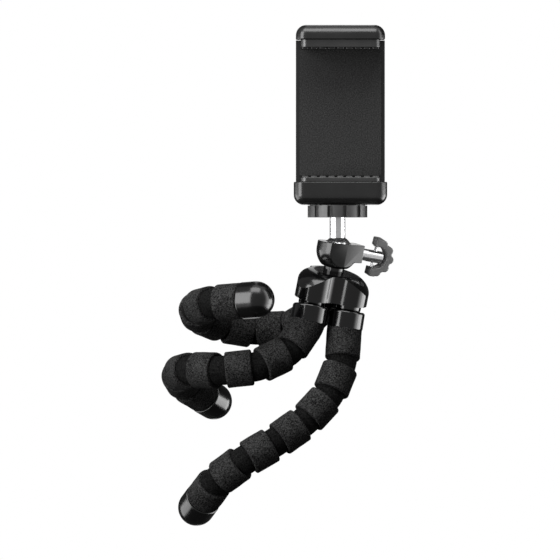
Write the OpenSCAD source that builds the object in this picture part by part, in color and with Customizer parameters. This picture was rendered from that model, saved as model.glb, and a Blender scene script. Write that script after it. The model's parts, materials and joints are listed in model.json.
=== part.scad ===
// Flexible leg tripod with a ball head and a sprung phone clamp, its three legs wound into a grip.
// Millimetres, +Z up, -Y to the clamp's open side. The origin is on the grip's upright axis.

/* [Legs] */
// Outer diameter of the foam bands
leg_d = 16.4; // [15.8:0.1:16.6]
// Distance from one leg joint to the next
leg_pitch = 16.4; // [15.8:0.1:17.2]
// Gap between two foam bands on a straight leg
band_gap = 4.5; // [4.3:0.1:5]
// Rounding of the bands' outer edges
band_edge = 2; // [1.8:0.1:2.1]
// Gap between collar and first band on a straight leg
first_gap = 4.2; // [4.1:0.1:5]
// Diameter of the balls of the leg joints
joint_ball_d = 8; // [7.6:0.1:8.2]
// Diameter of the rod that carries each ball
joint_stem_d = 3.6; // [3:0.1:3.8]
// How far a cup reaches past the middle of its ball
cup_lip = 1.7; // [1.5:0.1:1.8]
// Outer diameter of the collars
collar_d = 16.3; // [15.6:0.1:16.5]
// Height of the collars
collar_h = 8.4; // [8.2:0.1:10]
// Diameter of the feet
foot_d = 16.6; // [16:0.1:17]
// Length of the straight part of a foot
foot_len = 7; // [5:0.5:9]

/* [Hub] */
// Height of the three-lobed hub
hub_h = 12.4; // [11.6:0.1:14]
// Distance of the lobes from the hub's axis
lobe_offset = 9.75; // [9.6:0.05:10.4]
// Diameter of the lobes
lobe_d = 16.4; // [15.8:0.1:17]
// Radius of the hollows between the lobes
valley_r = 6; // [4:0.1:7]
// Radius of the round shoulder of the hub's top
dome_r = 10; // [8:0.5:11]
// Gap between hub and collars
hub_gap = 3.5; // [3.4:0.1:4.2]
// Diameter of the hub's neck
neck_d = 9.2; // [8:0.1:10]

/* [Ball head] */
// Diameter of the ball
head_ball_d = 13; // [12.4:0.1:13.2]
// Outer diameter of the ball socket
socket_d = 19; // [18.4:0.1:20]
// Diameter of the bright stem
stem_d = 7; // [6.6:0.1:7.2]
// Length of stem from the ball's middle to the lock wheel
stem_len = 14.4; // [13:0.5:20]
// Diameter of the camera screw at the stem's top
thread_d = 6.35; // [6:0.05:6.4]
// Height of the boss that holds the lock screw
boss_h = 7.5; // [7.2:0.1:8.4]
// Width of the boss
boss_w = 10; // [9:0.1:11]
// Reach of the boss from the hub's axis
boss_reach = 10.8; // [10.2:0.1:12]
// Diameter of the lock screw's rod
rod_d = 5.5; // [5.3:0.1:5.8]
// Diameter of the cross pin of the knob
pin_d = 1.5; // [1.2:0.1:1.8]
// Radius of the knob's half ring
knob_r = 8.7; // [8.3:0.1:9]
// Thickness of the knob
knob_t = 5.8; // [5:0.1:6.2]

/* [Phone clamp] */
// Phone gap with the jaws closed
phone_gap = 57; // [50:0.5:62]
// How far the sprung upper jaw opens from there
jaw_travel = 26; // [15:1:28]
// Width of the back housing
clamp_w = 40; // [38:0.5:44]
// Depth of the jaws, from back to lip
jaw_depth = 28; // [26:0.5:32]
// Thickness of the back housing
housing_t = 9; // [8.6:0.1:10.5]
// Height of the lower jaw
lower_jaw_h = 10.3; // [9:0.1:12]
// Height of the upper jaw
upper_jaw_h = 6.4; // [6:0.1:9]
// Diameter of the lock wheel
wheel_d = 26.8; // [24:0.2:30]
// Height of the lock wheel
wheel_h = 5.3; // [5:0.1:7]

/* [Hidden] */
$fn = 64;
LEGS = ["right", "front", "back"];
BANDS = 7;

// fits and gaps between pieces
ball_fit = 0.15;
glue_fit = 0.1;
run_fit = 0.05;
face_gap = 0.3;

// how far joined shapes of one piece, and cutters, run into each other
overlap = 1;

// half plane that a lathe keeps, longer than any turned piece
lathe_reach = 60;

// place and lean of the hub's neck
neck_x = 35.6;
neck_y = -7;
neck_z = 58.5;
neck_at = [neck_x, neck_y, neck_z];
lean_front = 12;
lean_right = 11;
lobe_angles = [-15, -135, 105];

// heading and dip, in degrees, of the collar and then of each band down the leg;
// heading 180 points left, 270 to the front, and dip is the slope downwards
leg_turns = [
    [[180, 81], [260, 70], [220, 62], [200, 45], [194, 34], [188, 30], [156, 34], [121, 35]],
    [[210, 78], [217, 50], [199, 24], [176, 6], [145, -1], [112, 6], [80, 17], [48, 22]],
    [[125, 52], [138, 24], [166, 3], [198, -9], [232, -14], [266, -13], [300, -8], [333, -4]],
];

// leg joints
joint_r = joint_ball_d / 2;
cup_wall = 1.85;
cavity_r = joint_r + ball_fit;
cup_r = cavity_r + cup_wall;
band_bore_r = cup_r + glue_fit;
band_r = leg_d / 2;
edge_r = min(band_edge, band_r - band_bore_r);
band_end = leg_pitch - band_gap / 2;
link_floor = cup_r - 1;
collar_web = 1.4;
collar_recess_r = cup_r + face_gap;
collar_edge = 1.1;
collar_len = hub_gap / 2 + collar_h;
collar_floor = collar_len - cavity_r - collar_web;
foot_r = foot_d / 2;
foot_edge = 0.8;

// hub, with its neck's middle as local origin
neck_top = 2;
dome_top = -0.6;
dome_out = 0.3;
hub_floor = dome_top - hub_h;
lobe_r = lobe_d / 2;
dome_end = lobe_offset + lobe_r + dome_out;
dome_flat = dome_end - dome_r;
valley_reach = lobe_offset / 2 + sqrt(pow(lobe_r + valley_r, 2) - pow(lobe_offset * sin(60), 2));

// ball head, on the hub's axis
head_r = head_ball_d / 2;
head_cavity_r = head_r + ball_fit;
socket_r = socket_d / 2;
socket_lip = 3.6;
// the rim of the socket slopes up towards the front cheek
rim_slope = 8;
rim_rise = socket_r * tan(rim_slope);
socket_foot = 2.2;
cheek_w = 14.4;
cheek_end = 1.5;
head_h = neck_top + socket_r - socket_foot;
boss_turn = 25;
screw_dip = 4;
rod_shoulder = 0.25;
screw_d = rod_d - 2 * rod_shoulder;
pad_t = 1.4;
pad_d = screw_d - face_gap;
rod_start = (boss_reach + face_gap + rod_d / 2 * sin(screw_dip)) / cos(screw_dip);
pin_gap = 7.7;
pin_reach = boss_reach + pin_gap;
rod_tail = 3.3;
rod_end = pin_reach + rod_tail;
pin_half = 7;
knob_arm = 1.5;
knob_shoulder = 1.4;
knob_slot = rod_d / 2 + 1.05;
knob_rim = 3.6;
bump_r = 1.9;
bump_depth = 1.1;
bump_step = 36;

// phone clamp, on the stem's axis with the ball's middle as local origin
ball_at = hub_point([0, 0, head_h]);
clamp_shift = 1.3;
wheel_z = stem_len + face_gap;
jaw_z = wheel_z + wheel_h + face_gap;
pad_base = 2;
rib_h = 0.7;
rib_n = 9;
lower_pad_h = pad_base + rib_h;
gap_z = jaw_z + lower_jaw_h + lower_pad_h;
upper_pad_base = 3.6;
upper_pad_h = upper_pad_base + rib_h;
upper_z = gap_z + phone_gap + upper_pad_h;
jaw_back = jaw_depth / 2;
housing_front = jaw_back - housing_t;
housing_mid = jaw_back - housing_t / 2;
housing_top = upper_z - face_gap;
jaw_flare = 0.95;
lower_jaw_w = clamp_w + 2 * jaw_flare;
jaw_corner = 4.6;
jaw_edge = 1;
plan_corner = 4.5;
pad_inset = 1.6;
pad_side = 2.2;
pad_w = clamp_w - 2 * pad_side;
back_pad_t = 1;
back_pad_w = clamp_w - 2 * pad_inset;
slide_w = 18;
slide_t = 4;
slide_hold = 24;
slide_len = jaw_travel + slide_hold;
slide_room = 4;
channel_floor = upper_z - slide_len - slide_room;
spring_x = 13.5;
spring_r = 1.75;
spring_wire = 0.55;
spring_seat = 1;
spring_floor = jaw_z + lower_jaw_h + spring_seat;
nut_d = 10;
nut_h = 6.2;
nut_lip = 0.6;
nut_room = 0.8;
nut_z = jaw_z + nut_lip;
thread_top = nut_z + nut_h + nut_room / 2;
wheel_notches = 12;
notch_r = 1.3;

// colours as photographed
gloss_black = [0.08, 0.08, 0.08];
satin_black = [0.15, 0.15, 0.15];
foam_black = [0.19, 0.19, 0.19];
pad_black = [0.17, 0.17, 0.17];
bright_steel = [0.82, 0.82, 0.84];
brass = [0.78, 0.62, 0.33];

// a point of the leaning hub, from its place on the upright hub
function hub_point(v) =
    let (y = v.y * cos(lean_front) - v.z * sin(lean_front))
    let (z = v.y * sin(lean_front) + v.z * cos(lean_front))
    neck_at + [v.x * cos(lean_right) + z * sin(lean_right), y, z * cos(lean_right) - v.x * sin(lean_right)];

// unit vector of one [heading, dip] turn
function turn_dir(turn) =
    [cos(turn[1]) * cos(turn[0]), cos(turn[1]) * sin(turn[0]), -sin(turn[1])];

// middle of joint k of a leg: 0 is under the hub, 1 under the collar, then one above each band
function joint_at(leg, k) =
    k == 0
        ? hub_point(lobe_point(leg, hub_floor - hub_gap / 2))
        : joint_at(leg, k - 1) + (k == 1 ? collar_len : leg_pitch) * turn_dir(leg_turns[leg][k - 1]);

// the middle of a lobe at a height on the upright hub
function lobe_point(leg, z) =
    [lobe_offset * cos(lobe_angles[leg]), lobe_offset * sin(lobe_angles[leg]), z];

module on_hub() {
    translate(neck_at)
        rotate([lean_front, lean_right, 0])
            children();
}

module on_boss() {
    on_hub()
        translate([0, 0, head_h])
            rotate([0, 0, boss_turn])
                children();
}

// local frame of the lock screw, which dips a little towards its knob
module on_screw() {
    on_boss()
        rotate([0, screw_dip, 0])
            children();
}

module on_stem() {
    translate(ball_at)
        children();
}

// local frame of the clamp, which sits a little to one side of the stem
module on_clamp() {
    on_stem()
        translate([clamp_shift, 0, 0])
            children();
}

// local frame of a leg piece: its own joint at the origin, +Z down the leg
module on_leg(leg, k) {
    turn = leg_turns[leg][k];
    translate(joint_at(leg, k))
        rotate([0, 90 + turn[1], turn[0]])
            children();
}

// turns an outline drawn with x as radius into a solid
module lathe() {
    rotate_extrude()
        intersection() {
            translate([0, -lathe_reach])
                square([lathe_reach, 2 * lathe_reach]);
            children();
        }
}

// outline of a ball on its rod, up to a height
module ball_rod_outline(top) {
    circle(joint_r);
    square([joint_stem_d / 2, top]);
}

// outline of a cup round a joint at a height, with its walls starting lower down
module cup_outline(start, joint) {
    translate([0, start])
        square([cup_r, joint - start]);
    translate([0, joint])
        intersection() {
            circle(cup_r);
            square([cup_r, cup_lip]);
        }
}

// outline of a ring with its outer edges rounded
module ring_outline(bore, outer, low, high, edge) {
    translate([bore, low])
        square([outer - edge - bore, high - low]);
    translate([bore, low + edge])
        square([outer - bore, high - low - 2 * edge]);
    intersection() {
        translate([outer - edge, low])
            square([edge, high - low]);
        for (z = [low + edge, high - edge])
            translate([outer - edge, z])
                circle(edge);
    }
}

// rectangle standing on y = 0 with its own corner radius below and above
module round_rect(w, h, low, high) {
    translate([-w / 2, low])
        square([w, h - low - high]);
    translate([low - w / 2, 0])
        square([w - 2 * low, h - high]);
    translate([high - w / 2, low])
        square([w - 2 * high, h - low]);
    for (side = [-1, 1]) {
        translate([side * (w / 2 - low), low])
            circle(low);
        translate([side * (w / 2 - high), h - high])
            circle(high);
    }
}

// block with a rounded face outline and rounded corners at its front in plan
module jaw_block(w, h, low, high) {
    intersection() {
        translate([0, jaw_back, 0])
            rotate([90, 0, 0])
                linear_extrude(jaw_depth)
                    round_rect(w, h, low, high);
        linear_extrude(h)
            translate([0, -jaw_back])
                round_rect(w, jaw_depth, plan_corner, jaw_edge);
    }
}

// ribbed rubber strip, ribs up
module ribbed_pad(base) {
    depth = housing_front - back_pad_t - face_gap + jaw_back - pad_inset;
    rib_pitch = pad_w / rib_n;
    linear_extrude(base)
        translate([0, pad_inset - jaw_back])
            round_rect(pad_w, depth, plan_corner - pad_inset, jaw_edge);
    for (i = [0 : rib_n - 1])
        translate([(i - (rib_n - 1) / 2) * rib_pitch - rib_pitch / 3, plan_corner - jaw_back, base])
            cube([rib_pitch * 2 / 3, depth - plan_corner, rib_h]);
}

// three lobes joined by round hollows
module hub_outline() {
    difference() {
        union() {
            for (a = lobe_angles)
                rotate(a)
                    translate([lobe_offset, 0])
                        circle(lobe_r);
            polygon([for (a = lobe_angles, half = [0, 60])
                (half == 0 ? lobe_offset : valley_reach) * [cos(a - half), sin(a - half)]]);
        }
        for (a = lobe_angles)
            rotate(a - 60)
                translate([valley_reach, 0])
                    circle(valley_r);
    }
}

module hub() {
    color(gloss_black)
        on_hub() {
            difference() {
                union() {
                    intersection() {
                        translate([0, 0, hub_floor])
                            linear_extrude(hub_h)
                                hub_outline();
                        lathe() {
                            translate([0, hub_floor])
                                square([dome_flat, hub_h]);
                            translate([0, hub_floor])
                                square([dome_end, hub_h - dome_r]);
                            translate([dome_flat, dome_top - dome_r])
                                circle(dome_r);
                        }
                    }
                    translate([0, 0, dome_top - overlap])
                        cylinder(d = neck_d, h = neck_top - dome_top + overlap);
                    for (leg = [0 : 2])
                        translate(lobe_point(leg, hub_floor - hub_gap / 2))
                            mirror([0, 0, 1])
                                lathe()
                                    cup_outline(-hub_gap / 2 - overlap, 0);
                }
                for (leg = [0 : 2])
                    translate(lobe_point(leg, hub_floor - hub_gap / 2))
                        sphere(cavity_r);
            }
        }
}

// plan of cup and boss: flat cheeks, then sides that close in towards the boss's end
module socket_plan() {
    polygon([
        [-socket_r, -cheek_w / 2], [cheek_end, -cheek_w / 2], [boss_reach, -boss_w / 2],
        [boss_reach, boss_w / 2], [cheek_end, cheek_w / 2], [-socket_r, cheek_w / 2],
    ]);
}

module ball_socket() {
    color(satin_black)
        on_boss()
            difference() {
                union() {
                    intersection() {
                        lathe() {
                            intersection() {
                                circle(socket_r);
                                translate([0, neck_top - head_h])
                                    square([socket_r, head_h - neck_top]);
                            }
                            square([socket_r, socket_lip + rim_rise]);
                        }
                        translate([0, 0, -socket_r])
                            linear_extrude(2 * socket_r)
                                socket_plan();
                    }
                    translate([0, 0, socket_lip - boss_h])
                        linear_extrude(boss_h + rim_rise)
                            intersection() {
                                socket_plan();
                                translate([0, -socket_r])
                                    square(2 * socket_r);
                            }
                }
                translate([0, 0, socket_lip])
                    rotate([-rim_slope, 0, 0])
                        translate([-socket_d, -socket_d, 0])
                            cube([2 * socket_d, 2 * socket_d, socket_r]);
                sphere(head_cavity_r);
                rotate([0, 90 + screw_dip, 0])
                    cylinder(d = screw_d + 2 * run_fit, h = boss_reach + 2 * overlap);
            }
}

module brake_pad() {
    color(brass)
        on_screw()
            difference() {
                rotate([0, 90, 0])
                    cylinder(d = pad_d, h = head_cavity_r + pad_t);
                sphere(head_r + run_fit);
                translate([-pad_d, -pad_d, -pad_d])
                    cube([pad_d, 2 * pad_d, 2 * pad_d]);
            }
}

module lock_screw() {
    color(bright_steel)
        on_screw()
            difference() {
                rotate([0, 90, 0])
                    lathe() {
                        translate([0, head_cavity_r + pad_t + run_fit])
                            square([screw_d / 2, rod_end - head_cavity_r - pad_t - run_fit]);
                        translate([0, rod_start])
                            square([rod_d / 2, rod_end - rod_start]);
                    }
                translate([pin_reach, 0, -rod_d])
                    cylinder(d = pin_d + run_fit, h = 2 * rod_d);
            }
}

module knob_pin() {
    color(bright_steel)
        on_screw()
            translate([pin_reach, 0, -pin_half])
                cylinder(d = pin_d, h = 2 * pin_half);
}

// half ring with a scalloped rim, open towards the boss
module knob_outline() {
    difference() {
        union() {
            intersection() {
                circle(knob_r - bump_depth);
                translate([-knob_arm, -knob_r])
                    square(2 * knob_r);
            }
            translate([-knob_arm, -knob_r])
                square([knob_arm + knob_shoulder, 2 * knob_r]);
            for (a = [-2 * bump_step : bump_step : 2 * bump_step])
                rotate(a)
                    translate([knob_r - bump_r, 0])
                        circle(bump_r);
        }
        circle(knob_r - knob_rim);
        translate([-knob_r, -knob_slot])
            square([knob_r, 2 * knob_slot]);
    }
}

module lock_knob() {
    color(satin_black)
        on_screw()
            translate([pin_reach, 0, 0])
                difference() {
                    rotate([90, 0, 0])
                        translate([0, 0, -knob_t / 2])
                            linear_extrude(knob_t)
                                knob_outline();
                    translate([0, 0, -pin_half - run_fit])
                        cylinder(d = pin_d + 2 * run_fit, h = 2 * (pin_half + run_fit));
                }
}

module ball_stem() {
    color(bright_steel)
        on_stem()
            lathe() {
                circle(head_r);
                square([stem_d / 2, stem_len]);
                square([thread_d / 2, thread_top]);
            }
}

module lock_wheel() {
    color(satin_black)
        on_stem()
            translate([0, 0, wheel_z])
                linear_extrude(wheel_h)
                    difference() {
                        circle(d = wheel_d);
                        circle(thread_d / 2 + run_fit);
                        for (i = [0 : wheel_notches - 1])
                            rotate((i + 0.5) * 360 / wheel_notches)
                                translate([wheel_d / 2 + notch_r / 3, 0])
                                    circle(notch_r);
                    }
}

module clamp_nut() {
    color(brass)
        on_stem()
            translate([0, 0, nut_z])
                difference() {
                    cylinder(d = nut_d, h = nut_h);
                    translate([0, 0, -overlap])
                        cylinder(r = thread_d / 2 + run_fit, h = nut_h + 2 * overlap);
                }
}

module clamp_body() {
    color(satin_black)
        on_clamp()
            difference() {
                union() {
                    translate([0, 0, jaw_z])
                        jaw_block(lower_jaw_w, lower_jaw_h, jaw_corner, jaw_edge);
                    translate([-clamp_w / 2, housing_front, jaw_z + lower_jaw_h - overlap])
                        cube([clamp_w, housing_t, housing_top - jaw_z - lower_jaw_h + overlap]);
                }
                translate([-clamp_shift, 0, jaw_z - overlap])
                    cylinder(r = thread_d / 2 + face_gap, h = nut_lip + 2 * overlap);
                translate([-clamp_shift, 0, nut_z])
                    cylinder(d = nut_d + 2 * glue_fit, h = nut_h + nut_room);
                translate([-slide_w / 2 - face_gap, housing_mid - slide_t / 2 - face_gap, channel_floor])
                    cube([slide_w + 2 * face_gap, slide_t + 2 * face_gap, housing_top]);
                for (side = [-1, 1])
                    translate([side * spring_x, housing_mid, spring_floor])
                        cylinder(r = spring_r + face_gap, h = housing_top);
            }
}

module back_pad() {
    color(pad_black)
        on_clamp()
            translate([-back_pad_w / 2, housing_front - back_pad_t, gap_z + face_gap])
                cube([back_pad_w, back_pad_t, phone_gap - 2 * face_gap]);
}

module lower_pad() {
    color(pad_black)
        on_clamp()
            translate([0, 0, jaw_z + lower_jaw_h])
                ribbed_pad(pad_base);
}

module upper_pad() {
    color(pad_black)
        on_clamp()
            translate([0, 0, upper_z])
                mirror([0, 0, 1])
                    ribbed_pad(upper_pad_base);
}

module upper_jaw() {
    color(satin_black)
        on_clamp() {
            translate([0, 0, upper_z])
                jaw_block(clamp_w, upper_jaw_h, jaw_edge, jaw_corner);
            translate([-slide_w / 2, housing_mid - slide_t / 2, upper_z - slide_len])
                cube([slide_w, slide_t, slide_len + overlap]);
        }
}

module jaw_springs() {
    color(bright_steel)
        on_clamp()
            for (side = [-1, 1])
                translate([side * spring_x, housing_mid, spring_floor])
                    difference() {
                        cylinder(r = spring_r, h = upper_z - spring_floor);
                        translate([0, 0, -overlap])
                            cylinder(r = spring_r - spring_wire, h = upper_z);
                    }
}

module collar(leg) {
    color(gloss_black)
        on_leg(leg, 0)
            lathe() {
                difference() {
                    union() {
                        ring_outline(0, collar_d / 2, hub_gap / 2, collar_len, collar_edge);
                        cup_outline(collar_floor, collar_len);
                    }
                    square([collar_recess_r, collar_floor]);
                    translate([0, collar_len])
                        circle(cavity_r);
                }
                ball_rod_outline(collar_floor + collar_web / 2);
            }
}

module leg_link(leg, i) {
    color(satin_black)
        on_leg(leg, i)
            lathe()
                difference() {
                    union() {
                        ball_rod_outline(link_floor + overlap);
                        cup_outline(link_floor, leg_pitch);
                    }
                    translate([0, leg_pitch])
                        circle(cavity_r);
                }
}

module leg_foam(leg, i) {
    start = i == 1 ? first_gap : band_gap / 2;
    color(foam_black)
        on_leg(leg, i)
            lathe()
                ring_outline(band_bore_r, band_r, start, band_end, edge_r);
}

module leg_foot(leg) {
    start = band_end + glue_fit;
    dome = start + foot_len;
    color(gloss_black)
        on_leg(leg, BANDS)
            lathe() {
                ball_rod_outline(link_floor + overlap);
                translate([0, link_floor])
                    square([cup_r, dome - link_floor]);
                intersection() {
                    ring_outline(0, foot_r, start, dome + 2 * foot_r, foot_edge);
                    union() {
                        translate([0, start])
                            square([foot_r, foot_len]);
                        translate([0, dome])
                            circle(foot_r);
                    }
                }
            }
}

HEAD_NODES = [
    "hub", "ball_socket", "brake_pad", "lock_screw", "knob_pin", "lock_knob", "ball_stem", "lock_wheel",
    "clamp_body", "clamp_nut", "back_pad", "lower_pad", "jaw_springs", "upper_jaw", "upper_pad",
];

hub();
ball_socket();
brake_pad();
lock_screw();
knob_pin();
lock_knob();
ball_stem();
lock_wheel();
clamp_body();
clamp_nut();
back_pad();
lower_pad();
jaw_springs();
upper_jaw();
upper_pad();
for (leg = [0 : 2]) {
    collar(leg);
    for (i = [1 : BANDS - 1])
        leg_link(leg, i);
    for (i = [1 : BANDS])
        leg_foam(leg, i);
    leg_foot(leg);
}
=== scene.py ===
# %% [markdown]
# # A flexible leg tripod
# The real thing is a small phone tripod: three bendable legs in sponge sleeves, a glossy hub,
# a ball head and a sprung phone clamp. Every rigid piece comes packed from the CAD model, which
# stands in metres at its real place. The whole object could be drawn anew here, but then two sets
# of sizes would have to agree. So this script loads that frame, keeps its sizes, and adds what
# CAD leaves out: sponge, soft edges and finishes.

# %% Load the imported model
import json
import math

import bmesh
import bpy
from mathutils import Matrix, Vector, noise


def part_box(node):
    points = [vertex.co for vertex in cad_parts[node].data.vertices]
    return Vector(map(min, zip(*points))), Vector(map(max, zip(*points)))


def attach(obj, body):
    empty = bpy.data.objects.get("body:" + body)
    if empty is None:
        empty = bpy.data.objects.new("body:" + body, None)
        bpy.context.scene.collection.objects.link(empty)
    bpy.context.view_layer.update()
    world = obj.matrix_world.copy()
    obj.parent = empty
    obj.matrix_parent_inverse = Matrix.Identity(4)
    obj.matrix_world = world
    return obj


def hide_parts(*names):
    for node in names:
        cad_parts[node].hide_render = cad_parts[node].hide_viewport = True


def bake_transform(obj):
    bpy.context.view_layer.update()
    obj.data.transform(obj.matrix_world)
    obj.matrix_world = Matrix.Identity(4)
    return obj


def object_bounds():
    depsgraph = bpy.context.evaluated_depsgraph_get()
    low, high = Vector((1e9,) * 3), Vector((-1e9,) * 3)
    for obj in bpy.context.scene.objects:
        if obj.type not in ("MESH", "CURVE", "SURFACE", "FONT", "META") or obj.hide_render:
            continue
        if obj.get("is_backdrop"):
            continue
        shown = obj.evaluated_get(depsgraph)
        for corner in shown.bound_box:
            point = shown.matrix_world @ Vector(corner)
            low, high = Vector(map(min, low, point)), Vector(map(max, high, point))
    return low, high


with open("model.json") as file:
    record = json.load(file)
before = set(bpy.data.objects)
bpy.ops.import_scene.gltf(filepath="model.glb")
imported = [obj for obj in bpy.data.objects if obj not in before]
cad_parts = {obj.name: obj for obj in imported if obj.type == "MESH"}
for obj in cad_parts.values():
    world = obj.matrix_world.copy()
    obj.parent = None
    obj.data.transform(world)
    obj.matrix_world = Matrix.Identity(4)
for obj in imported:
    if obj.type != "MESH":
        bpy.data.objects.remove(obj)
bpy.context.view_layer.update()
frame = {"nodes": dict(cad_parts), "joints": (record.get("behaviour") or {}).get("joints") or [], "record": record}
MM = 0.001
scene = bpy.context.scene
scene.view_settings.view_transform = "Standard"
nodes = frame["nodes"]

# %% [markdown]
# ## Helpers for finishes
# Colours are easiest to read as sRGB hex values, the way a paint program shows them, but shaders
# work with linear light, so one function converts them. A material's nodes could be made and wired
# one line at a time. A second function adds a node, sets its sockets or properties and links its
# inputs in one call, which keeps each material short. A third starts a material with an empty tree.

# %% Colour and node helpers
def linear(hex_colour):
    parts = [int(hex_colour[i:i + 2], 16) / 255 for i in (1, 3, 5)]
    return [c / 12.92 if c <= 0.04045 else ((c + 0.055) / 1.055) ** 2.4 for c in parts] + [1]


def add_node(tree, kind, settings=None, links=None):
    node = tree.nodes.new(kind)
    for key, value in (settings or {}).items():
        if isinstance(key, str) and key not in node.inputs:
            setattr(node, key, value)
        else:
            node.inputs[key].default_value = value
    for socket, source in (links or {}).items():
        tree.links.new(source, node.inputs[socket])
    return node


def new_material(name):
    material = bpy.data.materials.new(name)
    material.use_nodes = True
    material.node_tree.nodes.clear()
    return material


print("#808080 in linear light is", round(linear("#808080")[0], 3))

# %% [markdown]
# ## Sponge foam
# The legs are sleeved in black foam rubber, cut so that its sandy cells lie open. Broken cells on
# the skin catch light as pale specks and hold shade between them. They could be dents in the mesh,
# but there are far too many, so noise draws them: one of cell size for speck and bump, one broader
# for the uneven charcoal tone. Cells of about 0.25 mm are too fine for the picture, so they are
# drawn at 0.55 mm. The clamp's back pad, a grained sheet of EVA foam, has the same kind of skin.

# %% Foam rubber and EVA sheet
foam_cell = 0.55 * MM
foam_patch = 6 * MM
cell_relief = 0.2 * MM
# Levels of the cell noise that are all shade and all speck.
all_shade = 0.39
all_speck = 0.66


def make_foam(name, dark, light, patchy):
    foam = new_material(name)
    tree = foam.node_tree
    place = add_node(tree, "ShaderNodeTexCoord").outputs["Object"]
    cells = add_node(tree, "ShaderNodeTexNoise", {"Scale": 1 / foam_cell, "Detail": 3, "Roughness": 0.6},
                     {"Vector": place}).outputs["Fac"]
    patches = add_node(tree, "ShaderNodeTexNoise", {"Scale": 1 / foam_patch, "Detail": 2},
                       {"Vector": place}).outputs["Fac"]
    mixed = add_node(tree, "ShaderNodeMath", {"operation": "MULTIPLY_ADD", 1: patchy},
                     {0: patches, 2: cells}).outputs[0]
    # Patches add half their strength on average, so the range of tones moves up by as much.
    tone = add_node(tree, "ShaderNodeMapRange",
                    {"From Min": all_shade + patchy / 2, "From Max": all_speck + patchy / 2},
                    {"Value": mixed}).outputs[0]
    ramp = add_node(tree, "ShaderNodeValToRGB", links={"Fac": tone})
    ramp.color_ramp.elements[0].color = linear(dark)
    ramp.color_ramp.elements[1].color = linear(light)
    relief = add_node(tree, "ShaderNodeBump", {"Strength": 0.35, "Distance": cell_relief}, {"Height": cells})
    shader = add_node(tree, "ShaderNodeBsdfPrincipled", {"Roughness": 0.95, "Specular IOR Level": 0.03},
                      {"Base Color": ramp.outputs["Color"], "Normal": relief.outputs["Normal"]})
    add_node(tree, "ShaderNodeOutputMaterial", links={"Surface": shader.outputs[0]})
    return foam


# Foam rubber, skived: matt charcoal with pale specks and no shine at all.
sponge_foam = make_foam("foam_rubber_skived", "#0a0a0a", "#484848", patchy=0.15)
# The same foam in the grooves, painted darker as the shade that falls in them, with hardly a speck.
groove_shade_foam = make_foam("foam_rubber_groove_painted_shade", "#070707", "#242424", patchy=0.15)
# EVA sheet, grained by a roller: even dark grey with a fine matt pebble.
grained_eva = make_foam("eva_sheet_grained", "#303030", "#444444", patchy=0.05)
print("foam cells drawn at", foam_cell / MM, "mm")

# %% [markdown]
# ## Moulded plastics
# Hub and collars are ABS from a polished mould: nearly black, with clear reflections that only
# waver where the skin shrank. Clamp, socket, knob and wheel come from etched or blasted moulds, so
# their sheen is wider and has a grain. The feet are caps of dipped PVC, the jaw pads are silicone
# rubber. One colour and one roughness each would look like paint. So a slow noise shifts both, as
# handling does, and a bump gives the skin its waviness or its grain. An etched grain is about
# 0.1 mm, which is too fine to show, so it is drawn at about 0.5 mm.

# %% ABS, PVC and silicone rubber
touched_patch = 9 * MM
etched_grain = 0.5 * MM


def make_moulded(name, colour, worn_colour, rough, grain, depth, specular=0.5):
    plastic = new_material(name)
    tree = plastic.node_tree
    place = add_node(tree, "ShaderNodeTexCoord").outputs["Object"]
    skin = add_node(tree, "ShaderNodeTexNoise", {"Scale": 1 / grain, "Detail": 2},
                    {"Vector": place}).outputs["Fac"]
    touch = add_node(tree, "ShaderNodeTexNoise", {"Scale": 1 / touched_patch, "Detail": 3},
                     {"Vector": place}).outputs["Fac"]
    roughness = add_node(tree, "ShaderNodeMapRange",
                         {"From Min": 0.3, "From Max": 0.7, "To Min": rough[0], "To Max": rough[1]},
                         {"Value": touch}).outputs[0]
    ramp = add_node(tree, "ShaderNodeValToRGB", links={"Fac": touch})
    ramp.color_ramp.elements[0].color = linear(colour)
    ramp.color_ramp.elements[1].color = linear(worn_colour)
    relief = add_node(tree, "ShaderNodeBump", {"Strength": 0.5, "Distance": depth}, {"Height": skin})
    shader = add_node(tree, "ShaderNodeBsdfPrincipled", {"IOR": 1.5, "Specular IOR Level": specular},
                      {"Base Color": ramp.outputs["Color"], "Roughness": roughness,
                       "Normal": relief.outputs["Normal"]})
    add_node(tree, "ShaderNodeOutputMaterial", links={"Surface": shader.outputs[0]})
    return plastic


# ABS from a polished mould: deep black, drawn by what it mirrors.
polished_abs = make_moulded("abs_polished_black", "#050505", "#0a0a0b", rough=(0.12, 0.17),
                            grain=5 * MM, depth=0.008 * MM)
# ABS from a finely etched mould: charcoal with soft, wide lights.
satin_abs = make_moulded("abs_satin_charcoal", "#1c1c1c", "#242424", rough=(0.2, 0.26),
                         grain=etched_grain, depth=0.01 * MM)
# ABS from a lightly etched mould: black, between gloss and satin.
sheen_abs = make_moulded("abs_sheen_black", "#0c0c0c", "#121212", rough=(0.16, 0.2),
                         grain=etched_grain, depth=0.006 * MM)
# ABS from a blasted mould: dull, its mid grey partly its own tone and partly a painted sheen, so it changes little
# with the light.
blasted_sheen_abs = make_moulded("abs_blasted_grey_painted_sheen", "#626262", "#707070", rough=(0.4, 0.48),
                           grain=etched_grain, depth=0.02 * MM, specular=1)
# ABS for the wheel's rim, painted mid grey as a sheen, with a broad and weak gloss.
rim_sheen_abs = make_moulded("abs_rim_painted_sheen", "#383838", "#444444", rough=(0.4, 0.48),
                        grain=etched_grain, depth=0.01 * MM, specular=0.6)
# PVC from a dip: black and smooth, its mirror a little softer than that of polished ABS.
dipped_pvc = make_moulded("pvc_dipped_cap", "#0a0a0a", "#101010", rough=(0.19, 0.24),
                          grain=4 * MM, depth=0.01 * MM)
# ABS from a plain tool, as on the links inside: black and dull.
core_abs = make_moulded("abs_core_black", "#0c0c0c", "#141414", rough=(0.45, 0.6),
                        grain=0.6 * MM, depth=0.02 * MM, specular=0.35)
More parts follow.
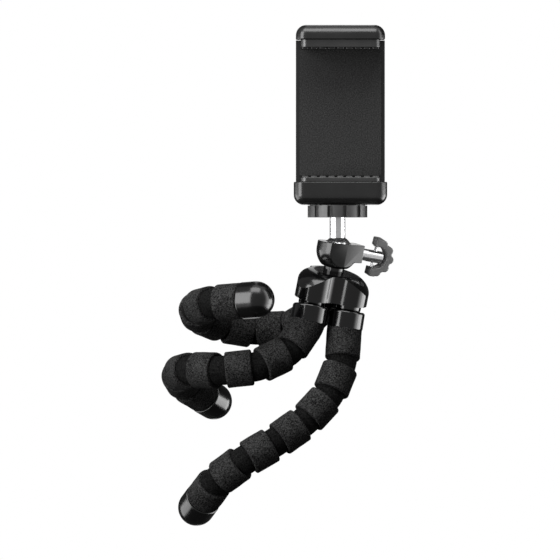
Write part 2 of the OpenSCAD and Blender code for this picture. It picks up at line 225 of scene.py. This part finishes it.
# Silicone rubber, moulded: dark grey with a greasy half gloss.
grip_rubber = make_moulded("silicone_rubber_moulded", "#202020", "#2a2a2a", rough=(0.28, 0.36),
                           grain=0.45 * MM, depth=0.02 * MM, specular=0.8)
print("etched grain drawn at", etched_grain / MM, "mm")

# %% [markdown]
# ## Metals
# The stem and the lock screw are turned steel with bright chrome plate, so they show the white
# studio and its dark flags as streaks along them. Nut and brake pad are plain turned brass. Lathe
# rings could be modelled or drawn by an anisotropic shader, but plating and polishing leave next to
# nothing of them. A fine noise that shifts tone and roughness is enough to keep the mirror from
# looking perfect. Tool marks of about 0.1 mm are too fine to show, so they are drawn at 0.8 mm.

# %% Chrome plated steel and brass
tool_mark = 0.8 * MM


def make_metal(name, colour, worn_colour, rough):
    metal = new_material(name)
    tree = metal.node_tree
    place = add_node(tree, "ShaderNodeTexCoord").outputs["Object"]
    marks = add_node(tree, "ShaderNodeTexNoise", {"Scale": 1 / tool_mark, "Detail": 2},
                     {"Vector": place}).outputs["Fac"]
    roughness = add_node(tree, "ShaderNodeMapRange", {"To Min": rough[0], "To Max": rough[1]},
                         {"Value": marks}).outputs[0]
    ramp = add_node(tree, "ShaderNodeValToRGB", links={"Fac": marks})
    ramp.color_ramp.elements[0].color = linear(colour)
    ramp.color_ramp.elements[1].color = linear(worn_colour)
    shader = add_node(tree, "ShaderNodeBsdfPrincipled", {"Metallic": 1},
                      {"Base Color": ramp.outputs["Color"], "Roughness": roughness})
    add_node(tree, "ShaderNodeOutputMaterial", links={"Surface": shader.outputs[0]})
    return metal


# Steel under chrome plate: a bright neutral mirror, slightly blurred.
chrome_plate = make_metal("chrome_plated_steel", "#dededf", "#eeeeef", rough=(0.18, 0.24))
# Brass from the lathe: warm yellow with a broad metal shine.
turned_brass = make_metal("brass_turned", "#b08d48", "#c9a75c", rough=(0.25, 0.4))
print("tool marks drawn at", tool_mark / MM, "mm")

# %% [markdown]
# ## Finishes of the CAD pieces
# Most rigid pieces keep their CAD shape. The record says what each is made of, so the finish goes by
# the record's slot; a list of pieces would do too, but could miss one. Back pad and feet share a
# slot with other pieces and get their own finish by name. Only the material slot of each mesh
# changes, and its shape is left alone.

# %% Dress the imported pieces
slot_finish = {"gloss_shell": polished_abs, "satin_shell": satin_abs, "core_plastic": core_abs,
               "leg_foam": sponge_foam, "grip_rubber": grip_rubber, "bright_steel": chrome_plate,
               "brass_inserts": turned_brass}
own_finish = {"back_pad": grained_eva, "right_foot": dipped_pvc, "front_foot": dipped_pvc,
              "back_foot": dipped_pvc}
for part in frame["record"]["subparts"]:
    mesh = nodes[part["node"]].data
    mesh.materials.clear()
    mesh.materials.append(own_finish.get(part["node"], slot_finish[part["material_slot"]]))

# %% [markdown]
# ## Where the legs run
# Each leg is a chain of ball joints, and the frame gives every joint's middle. A turned piece lies
# along the line from its joint to its own middle, which is the middle of its box. Radius and length
# could be written down once more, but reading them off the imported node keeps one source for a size.

# %% Measure turned pieces along the legs
joint_at = {joint["name"]: Vector(joint["pos_m"]) for joint in frame["joints"] if joint["type"] == "hinge"}
LEGS = ("right", "front", "back")
BANDS = 7


def leg_line(leg, k):
    base = joint_at[f"{leg}_bend_{k}"]
    if k == 0:
        return base, (joint_at[f"{leg}_bend_1"] - base).normalized()
    low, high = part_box(f"{leg}_foam_{k}")
    return base, ((low + high) / 2 - base).normalized()


def leg_body(leg, k):
    return f"{leg}_segment_{k}" if k else f"{leg}_collar"


def turned_size(node, base, along):
    heights = [(v.co - base).dot(along) for v in nodes[node].data.vertices]
    radii = [(v.co - base).cross(along).length for v in nodes[node].data.vertices]
    return min(radii), max(radii), min(heights), max(heights)


band_size = turned_size("right_foam_2", *leg_line("right", 2))
print("band bore, radius, start, end in mm:", [round(s / MM, 2) for s in band_size])

# %% [markdown]
# ## From mesh to piece
# What is modelled here starts as a bmesh and ends as an object. An object could be built round the
# origin and then moved to its leg. Instead its place goes into its mesh, and the object stays at the
# origin, so that a pattern on Object coordinates runs on from piece to piece and never slides.

# %% Helpers for new pieces
def stand(base, along):
    return Matrix.Translation(base) @ along.to_track_quat("Z", "Y").to_matrix().to_4x4()


def bevel(bm, edges, radius, steps):
    bmesh.ops.bevel(bm, geom=edges, offset=radius, affect="EDGES", segments=steps, profile=0.5, material=-1)


def make_piece(bm, name, material):
    bmesh.ops.recalc_face_normals(bm, faces=bm.faces)
    mesh = bpy.data.meshes.new(name)
    bm.to_mesh(mesh)
    bm.free()
    mesh.shade_smooth()
    mesh.materials.append(material)
    piece = bpy.data.objects.new(name, mesh)
    scene.collection.objects.link(piece)
    return piece


print("a band stands on", stand(*leg_line("right", 2)).to_translation())

# %% [markdown]
# ## Foam bands
# The sleeve is cut into seven short bands so that the leg can bend. A cylinder with a bump would do
# from afar, but its outline would be ruled and its rims sharp. So a band is a rectangle spun round
# the leg's line; its outer rims are bevelled, because cut foam has a soft corner, and its wall is
# divided finely enough to move each point a little in and out.

# %% Spin, bevel and roughen the bands
ring_steps = 64
band_corner = 0.7 * MM
corner_steps = 4
wall_cuts = 9
unevenness = 0.13 * MM
lump = 4 * MM
# An edge longer than this runs along a wall, and points closer than a hair are level.
long_edge = 4 * MM
hair = 0.1 * MM


def declare_foam(piece, *replaced):
    if replaced:
        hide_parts(*replaced)
    return piece


def foam_band(leg, k):
    base, along = leg_line(leg, k)
    bore, radius, start, end = turned_size(f"{leg}_foam_{k}", base, along)
    bm = bmesh.new()
    outline = ((bore, 0, start), (radius, 0, start), (radius, 0, end), (bore, 0, end))
    corners = [bm.verts.new(point) for point in outline]
    sides = [bm.edges.new(pair) for pair in zip(corners, corners[1:] + corners[:1])]
    bmesh.ops.spin(bm, geom=corners + sides, cent=(0, 0, 0), axis=(0, 0, 1), angle=math.tau,
                   steps=ring_steps, use_merge=True)
    bmesh.ops.recalc_face_normals(bm, faces=bm.faces)
    rims = [e for e in bm.edges if all(v.co.xy.length > radius - hair for v in e.verts)
            and abs(e.verts[0].co.z - e.verts[1].co.z) < hair]
    bevel(bm, rims, band_corner, corner_steps)
    lengthwise = [e for e in bm.edges if abs(e.verts[0].co.z - e.verts[1].co.z) > long_edge
                  and e.verts[0].co.xy.length > radius - hair]
    bmesh.ops.subdivide_edges(bm, edges=lengthwise, cuts=wall_cuts, use_grid_fill=True)
    for vertex in bm.verts:
        reach = vertex.co.xy.length
        if reach > bore + hair:
            push = noise.noise(vertex.co / lump + base / MM) * unevenness - unevenness / 2
            vertex.co.xy *= 1 + push / reach
    bmesh.ops.transform(bm, matrix=stand(base, along), verts=bm.verts)
    piece = make_piece(bm, f"{leg}_sponge_{k}", sponge_foam)
    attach(piece, leg_body(leg, k))
    return declare_foam(piece, f"{leg}_foam_{k}")


bands = [foam_band(leg, k) for leg in LEGS for k in range(2, BANDS + 1)]
print("bands", len(bands), "faces each", len(bands[0].data.polygons))

# %% [markdown]
# ## Foam at the bends
# Between two bands the sleeve goes on as a thinner neck that bends with the joint. A straight tube would show a
# kink. So a ring is spun about the middle of the bend, which makes the tube leave one band straight and enter the
# next straight.

# %% Spin the necks round the bends
neck_radius = 6.6 * MM
tangent = 3 * MM
tuck = 1.2 * MM
bend_steps = 10


def bent_tube(leg, k, radius, run_on):
    joint, after = leg_line(leg, k)
    before = leg_line(leg, k - 1)[1]
    axis = before.cross(after).normalized()
    bend = before.angle(after)
    start = joint - tangent * before
    middle = start + tangent / math.tan(bend / 2) * axis.cross(before)
    bm = bmesh.new()
    bmesh.ops.create_circle(bm, segments=ring_steps, radius=radius, matrix=stand(start, before))
    first = list(bm.edges)
    swept = bmesh.ops.spin(bm, geom=first + list(bm.verts), cent=middle, axis=axis, angle=bend,
                           steps=bend_steps)["geom_last"]
    last = [g for g in swept if isinstance(g, bmesh.types.BMEdge)]
    for rim, step in ((first, before * -tuck), (last, after * run_on)):
        moved = bmesh.ops.extrude_edge_only(bm, edges=rim)["geom"]
        bmesh.ops.translate(bm, verts=[g for g in moved if isinstance(g, bmesh.types.BMVert)], vec=step)
    bmesh.ops.holes_fill(bm, edges=[e for e in bm.edges if e.is_boundary])
    return bm


def foam_neck(leg, k):
    bm = bent_tube(leg, k, neck_radius, tuck)
    # Necks take the groove foam, which is painted darker as shade in the grooves.
    piece = make_piece(bm, f"{leg}_groove_{k}", groove_shade_foam)
    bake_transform(piece)
    return declare_foam(piece)


necks = [foam_neck(leg, k) for leg in LEGS for k in range(2, BANDS + 1)]
print("necks", len(necks), "faces each", len(necks[0].data.polygons))

# %% [markdown]
# ## First bands
# The first band has no groove above it: its tube comes out of the collar at nearly full thickness.
# A band and a neck would leave a step there, so the sweep of the neck is used at the larger radius
# and runs on to the band's end, which gets the same soft corner and uneven wall as the other bands.

# %% Sweep the first bands out of the collars
first_radius = 7.9 * MM


def first_band(leg):
    joint, after = leg_line(leg, 1)
    end = turned_size(f"{leg}_foam_1", joint, after)[3]
    bm = bent_tube(leg, 1, first_radius, end - tangent)
    tip = [e for e in bm.edges if all((v.co - joint).dot(after) > end - hair for v in e.verts)]
    bevel(bm, tip, band_corner, corner_steps)
    lengthwise = [e for e in bm.edges if abs((e.verts[0].co - e.verts[1].co).dot(after)) > long_edge]
    bmesh.ops.subdivide_edges(bm, edges=lengthwise, cuts=wall_cuts, use_grid_fill=True)
    for vertex in bm.verts:
        out = (vertex.co - joint) - (vertex.co - joint).project(after)
        height = (vertex.co - joint).dot(after)
        if height > tangent and out.length > first_radius / 2:
            vertex.co += out.normalized() * noise.noise(vertex.co / lump) * unevenness
    piece = make_piece(bm, f"{leg}_sponge_1", sponge_foam)
    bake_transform(piece)
    return declare_foam(piece, f"{leg}_foam_1")


firsts = [first_band(leg) for leg in LEGS]
print("first bands", len(firsts), "faces each", len(firsts[0].data.polygons))

# %% [markdown]
# ## Softened edges
# No moulded edge is sharp: the tool's own radius and the shrinkage round it off, and that thin
# rounding is what catches light. Rounding in CAD would be heavy, so a copy of the CAD shape gets it
# here: its loose triangles are merged, flat ones joined, and a bevel of the real radius is put on
# every edge that turns by more than 30 degrees. Normals weighted by area keep the flat faces flat.
# A copy can also be cut at a height, with its walls run on a little past the cut, so that it ends
# inside a piece modelled anew.

# %% Copy, merge and bevel the moulded pieces
weld = 0.002 * MM
flat_angle = math.radians(0.5)
sharp_angle = math.radians(30)
edge_steps = 3
socket_edge = 0.35 * MM
knob_edge = 0.5 * MM
pad_edge = 0.25 * MM


def merged_copy(node, cut_height=None, run_on=0):
    bm = bmesh.new()
    bm.from_mesh(nodes[node].data)
    bmesh.ops.remove_doubles(bm, verts=bm.verts, dist=weld)
    if run_on:
        # What stands above the cut runs on downwards, and what hangs below it upwards.
        bmesh.ops.bisect_plane(bm, geom=bm.verts[:] + bm.edges[:] + bm.faces[:],
                               plane_co=(0, 0, cut_height), plane_no=(0, 0, 1),
                               clear_inner=run_on < 0, clear_outer=run_on > 0)
        rim = [v for v in bm.verts if v.is_boundary]
        bmesh.ops.translate(bm, verts=rim, vec=(0, 0, run_on))
    bmesh.ops.dissolve_limit(bm, angle_limit=flat_angle, verts=bm.verts, edges=bm.edges)
    return bm


def soften(node, body, width, material, cut_height=None, run_on=0):
    bm = merged_copy(node, cut_height, run_on)
    piece = make_piece(bm, f"{node}_soft", material)
    edges = piece.modifiers.new("tool_radius", "BEVEL")
    edges.width = width
    edges.segments = edge_steps
    edges.limit_method = "ANGLE"
    edges.angle_limit = sharp_angle
    # Clamping keeps bevels from overlapping, but narrows them all to suit the tightest spot. Only the
    # cut pieces, with their thin walls, have it.
    edges.use_clamp_overlap = run_on != 0
    piece.modifiers.new("flat_faces", "WEIGHTED_NORMAL")
    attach(piece, body)
    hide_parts(node)
    return piece


softened = [
    soften("ball_socket", "hub", socket_edge, sheen_abs),
    soften("lock_knob", "lock_knob", knob_edge, blasted_sheen_abs),
    soften("lower_pad", "clamp", pad_edge, grip_rubber),
    soften("upper_pad", "upper_jaw", pad_edge, grip_rubber),
]
print("softened", [piece.name for piece in softened])

# %% [markdown]
# ## Lock wheel
# The wheel's rim is painted grey as a painted sheen, and its notches take dull black plastic as painted shade. Two
# finishes could be mixed by a mask, but here the faces themselves know: those further in than the rim are notches.
# On top the wheel has a raised seat that bears against the lower jaw.

# %% Paint sheen on the rim and shade in the notches, and raise the seat
rim_skin = 0.2 * MM
notch_depth = 0.9 * MM
seat_gap = 0.04 * MM
bm = merged_copy("lock_wheel")
wheel_low, wheel_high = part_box("lock_wheel")
wheel_middle = (wheel_low + wheel_high) / 2
wheel_radius = (wheel_high.x - wheel_low.x) / 2
# Faces further in than the rim are notches and take the second finish as painted shade; the rim keeps the painted
# sheen.
for face in bm.faces:
    reach = (face.calc_center_median() - wheel_middle).xy.length
    upright = abs(face.normal.z) < 0.5
    face.material_index = int(upright and wheel_radius / 2 < reach < wheel_radius - rim_skin)
seat_radius = wheel_radius - notch_depth
seat_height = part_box("clamp_body")[0].z - wheel_high.z - seat_gap
seat_place = Matrix.Translation((*wheel_middle.xy, wheel_high.z + seat_height / 2))
bmesh.ops.create_cone(bm, cap_ends=True, segments=ring_steps, radius1=seat_radius, radius2=seat_radius,
                      depth=seat_height, matrix=seat_place)
wheel = make_piece(bm, "lock_wheel_dressed", rim_sheen_abs)
# The second finish, dull black, is painted shade in the notches.
wheel.data.materials.append(core_abs)
wheel.data.set_sharp_from_angle(angle=sharp_angle)
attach(wheel, "lock_wheel")
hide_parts("lock_wheel")
print("wheel radius", round(wheel_radius / MM, 2), "seat", round(seat_height / MM, 2), "mm")

# %% [markdown]
# ## Jaws of the clamp
# Both jaws are moulded blocks with large round corners: in plan at the front, and along the upper
# jaw's top and the lower jaw's underside. One bevel of all edges would round the upright edges at
# the back as well. So each is a block bevelled in turn: its upright front edges, then the round rim,
# then the thin one. Housing and slide plate behind them are the softened CAD shapes, cut off at the
# jaws, with walls that run on into them.

# %% Bevel the two jaws
plan_corner = 5 * MM
rim_corner = 4.6 * MM
round_steps = 8
small_edge = 0.4 * MM
square_corner = math.radians(60)
crisp_angle = math.radians(40)
# The cut lies just off the jaw's face, since one in the plane of a face could keep or lose that face.
cut_clearance = 0.005 * MM


def jaw(name, body, low, high, round_z, node):
    bm = bmesh.new()
    block = Matrix.Translation((low + high) / 2) @ Matrix.Diagonal((*(high - low), 1))
    bmesh.ops.create_cube(bm, size=1, matrix=block)
    front = [e for e in bm.edges if all(v.co.y < low.y + hair for v in e.verts)]
    upright = [e for e in front if abs(e.verts[0].co.x - e.verts[1].co.x) < hair]
    bevel(bm, upright, plan_corner, round_steps)
    thin_z = low.z + high.z - round_z
    for z, radius, steps in ((round_z, rim_corner, round_steps), (thin_z, small_edge, edge_steps)):
        level = [e for e in bm.edges if all(abs(v.co.z - z) < hair for v in e.verts)]
        bevel(bm, [e for e in level if e.calc_face_angle() > square_corner], radius, steps)
    piece = make_piece(bm, name, satin_abs)
    # Crisp edges split the shading, or the flat back would look curved.
    piece.data.set_sharp_from_angle(angle=crisp_angle)
    piece.modifiers.new("flat_faces", "WEIGHTED_NORMAL").keep_sharp = True
    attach(piece, body)
    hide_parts(node)
    return piece


body_low, body_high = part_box("clamp_body")
jaw_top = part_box("lower_pad")[0].z
lower_jaw = jaw("lower_jaw", "clamp", body_low, Vector((*body_high.xy, jaw_top)), body_low.z, "clamp_body")
cap_low, cap_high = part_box("upper_jaw")
cap_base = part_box("upper_pad")[1].z
upper_cap = jaw("upper_cap", "upper_jaw", Vector((*cap_low.xy, cap_base)), cap_high, cap_high.z, "upper_jaw")
soften("clamp_body", "clamp", small_edge, satin_abs, jaw_top + cut_clearance, -small_edge)
soften("upper_jaw", "upper_jaw", small_edge, satin_abs, cap_base - cut_clearance, small_edge)
print("jaw faces", len(lower_jaw.data.polygons), len(upper_cap.data.polygons))

# %% [markdown]
# ## Camera
# The photograph is a straight front view through a long lens. An orthographic camera would come
# close, but a far one with a long lens also keeps the little perspective that there is. In the plane
# of the model's origin the frame is 252 mm wide, and its middle lies to the right of that origin and
# above it.

# %% Front camera
frame_width = 252 * MM
middle_x = 11.5 * MM
middle_z = 54 * MM
distance = 6000 * MM
camera_data = bpy.data.cameras.new("front_camera")
camera_data.sensor_width = 36
camera_data.lens = camera_data.sensor_width * distance / frame_width
camera = bpy.data.objects.new("front_camera", camera_data)
camera.matrix_world = (Matrix.Translation((middle_x, -distance, middle_z))
                       @ Matrix.Rotation(math.pi / 2, 4, "X"))
scene.collection.objects.link(camera)
scene.camera = camera
print("lens", round(camera_data.lens, 1), "mm")

# %% [markdown]
# ## White studio
# The object hangs before plain white. A bright white world could light it all, but it would wash the
# blacks out. So the world shows white only to the camera, to mirrors and through glass, and lights
# the rest weakly.

# %% White world
weak_light = 0.06
world = bpy.data.worlds.new("white_studio")
scene.world = world
world.use_nodes = True
tree = world.node_tree
tree.nodes.clear()
ray = add_node(tree, "ShaderNodeLightPath").outputs
mirrored = add_node(tree, "ShaderNodeMath", {"operation": "MAXIMUM"},
                    {0: ray["Is Camera Ray"], 1: ray["Is Glossy Ray"]}).outputs[0]
seen = add_node(tree, "ShaderNodeMath", {"operation": "MAXIMUM"},
                {0: mirrored, 1: ray["Is Transmission Ray"]}).outputs[0]
level = add_node(tree, "ShaderNodeMapRange", {"To Min": weak_light, "To Max": 1}, {"Value": seen})
backdrop = add_node(tree, "ShaderNodeBackground", {"Color": (1, 1, 1, 1)}, {"Strength": level.outputs[0]})
add_node(tree, "ShaderNodeOutputWorld", links={"Surface": backdrop.outputs[0]})
print("the world lights with", weak_light, "of the white that it shows")

# %% [markdown]
# ## Softboxes
# The light is soft: a tall box from the front left, one overhead and a fill from behind. Point lamps
# would give small hard lights on the gloss, while a large box gives broad ones with a clear edge.
# Mirrors don't see the fill, which would put a white patch on every glossy back.

# %% Three area lamps
target = Vector((15 * MM, 0, 50 * MM))
lamp_reach = 0.9


def toward(azimuth, elevation):
    rise = math.radians(elevation)
    return Matrix.Rotation(math.radians(azimuth), 3, "Z") @ Vector((0, -math.cos(rise), math.sin(rise)))


def softbox(name, azimuth, elevation, width, height, radiance):
    lamp = bpy.data.lights.new(name, "AREA")
    lamp.shape = "RECTANGLE"
    lamp.size = width
    lamp.size_y = height
    lamp.energy = radiance * math.pi * width * height
    side = toward(azimuth, elevation)
    box = bpy.data.objects.new(name, lamp)
    box.matrix_world = stand(target + side * lamp_reach, side)
    scene.collection.objects.link(box)
    return box


left_box = softbox("left_box", azimuth=-52, elevation=12, width=0.5, height=1.0, radiance=6)
top_box = softbox("top_box", azimuth=-10, elevation=64, width=0.8, height=0.5, radiance=5)
back_fill = softbox("back_fill", azimuth=172, elevation=20, width=0.8, height=0.8, radiance=5)
back_fill.visible_glossy = False
print("lamps in W", [(box.name, round(box.data.energy, 2)) for box in (left_box, top_box, back_fill)])

# %% [markdown]
# ## Reflectors and flags
# Gloss black takes its drawing from what it mirrors. In the studio that is a tall bright reflector
# on the right, a grey card round the camera, low bright wings at both sides with dark shades above
# them, and black flags behind and below, which draw the dark edges of bright metal. Lamps would
# light the foam as well, so these are cards, swept round the object, that only mirrors see.

# %% Curved cards for the reflections
# Cards are placed by azimuth, from the camera towards the right, and elevation, both in degrees.
card_reach = 1.4
card_rows = 8
card_steps = 24


def card(name, azimuths, elevations, radiance, near_radiance=None):
    bm = bmesh.new()
    rise = (elevations[1] - elevations[0]) / card_rows
    sides = [toward(azimuths[0], elevations[0] + rise * i) for i in range(card_rows + 1)]
    verts = [bm.verts.new(target + side * card_reach) for side in sides]
    edges = [bm.edges.new(pair) for pair in zip(verts, verts[1:])]
    turn = azimuths[1] - azimuths[0]
    bmesh.ops.spin(bm, geom=verts + edges, cent=target, axis=(0, 0, 1), angle=math.radians(turn),
                   steps=card_steps, use_merge=turn == 360)
    cloth = new_material(name + "_cloth")
    tree = cloth.node_tree
    glow = add_node(tree, "ShaderNodeEmission", {"Color": (1, 1, 1, 1), "Strength": radiance})
    if near_radiance:
        place = add_node(tree, "ShaderNodeTexCoord").outputs["Object"]
        centred = add_node(tree, "ShaderNodeMapping", {"Location": -target}, {"Vector": place}).outputs[0]
        # A radial gradient goes from 0 to 1 in one turn, and starts at an azimuth of -90 degrees.
        share = add_node(tree, "ShaderNodeTexGradient", {"gradient_type": "RADIAL"},
                         {"Vector": centred}).outputs["Fac"]
        near, far = ((azimuth + 90) / 360 for azimuth in azimuths)
        fade = add_node(tree, "ShaderNodeMapRange",
                        {"interpolation_type": "SMOOTHERSTEP", "From Min": near, "From Max": far,
                         "To Min": near_radiance, "To Max": radiance}, {"Value": share})
        tree.links.new(fade.outputs[0], glow.inputs["Strength"])
    add_node(tree, "ShaderNodeOutputMaterial", links={"Surface": glow.outputs[0]})
    piece = make_piece(bm, name, cloth)
    piece.visible_camera = False
    piece.visible_diffuse = False
    piece.visible_shadow = False
    piece.visible_transmission = False
    piece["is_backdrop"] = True
    return piece


foot = -37
wing_top = 1.6
grey = 0.4
black = 0.05
cards = [
    card("right_reflector", (50, 84), (foot, 50), radiance=4.4, near_radiance=grey),
    card("right_wing", (84, 116), (foot, wing_top), radiance=8),
    card("right_shade", (84, 116), (wing_top, 50), radiance=black),
    card("camera_card", (-36, 50), (foot, 40), radiance=grey),
    card("left_wing", (-118, -68), (foot, wing_top), radiance=4),
    card("left_shade", (-118, -68), (wing_top, 75), radiance=0.3),
    card("left_flag", (-176, -118), (foot, 75), radiance=black),
    card("right_flag", (116, 176), (foot, 75), radiance=black),
    card("under_flag", (-180, 180), (-88, foot), radiance=black),
]
print("cards", [piece.name for piece in cards])

# %% [markdown]
# ## Floor
# Under the object lies a pale round floor that takes its soft shadow. A large plane would show a
# horizon, so the floor is a disc that fades into the white of the backdrop towards its rim. It
# throws no light back and isn't mirrored, which keeps undersides dark.

# %% Fading floor
floor_drop = 40 * MM
floor_radius = 280 * MM
fade_end = 0.5
floor_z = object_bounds()[0][2] - floor_drop
bm = bmesh.new()
bmesh.ops.create_circle(bm, cap_ends=True, segments=ring_steps, radius=floor_radius,
                        matrix=Matrix.Translation((0, 0, floor_z)))
floor_paint = new_material("pale_studio_floor")
tree = floor_paint.node_tree
place = add_node(tree, "ShaderNodeTexCoord").outputs["Object"]
disc = add_node(tree, "ShaderNodeMapping", {"Scale": (1 / floor_radius, 1 / floor_radius, 0)},
                {"Vector": place}).outputs[0]
inward = add_node(tree, "ShaderNodeTexGradient", {"gradient_type": "SPHERICAL"},
                  {"Vector": disc}).outputs["Fac"]
paint = add_node(tree, "ShaderNodeBsdfDiffuse", {"Color": linear("#f2f2f2")})
glow = add_node(tree, "ShaderNodeEmission", {"Color": (1, 1, 1, 1), "Strength": 1})
share = add_node(tree, "ShaderNodeMapRange", {"From Max": fade_end}, {"Value": inward})
both = add_node(tree, "ShaderNodeMixShader",
                links={0: share.outputs[0], 1: glow.outputs[0], 2: paint.outputs[0]})
add_node(tree, "ShaderNodeOutputMaterial", links={"Surface": both.outputs[0]})
floor = make_piece(bm, "studio_floor", floor_paint)
floor.visible_diffuse = False
floor.visible_glossy = False
floor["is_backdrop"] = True
print("floor at", round(floor_z / MM, 1), "mm")
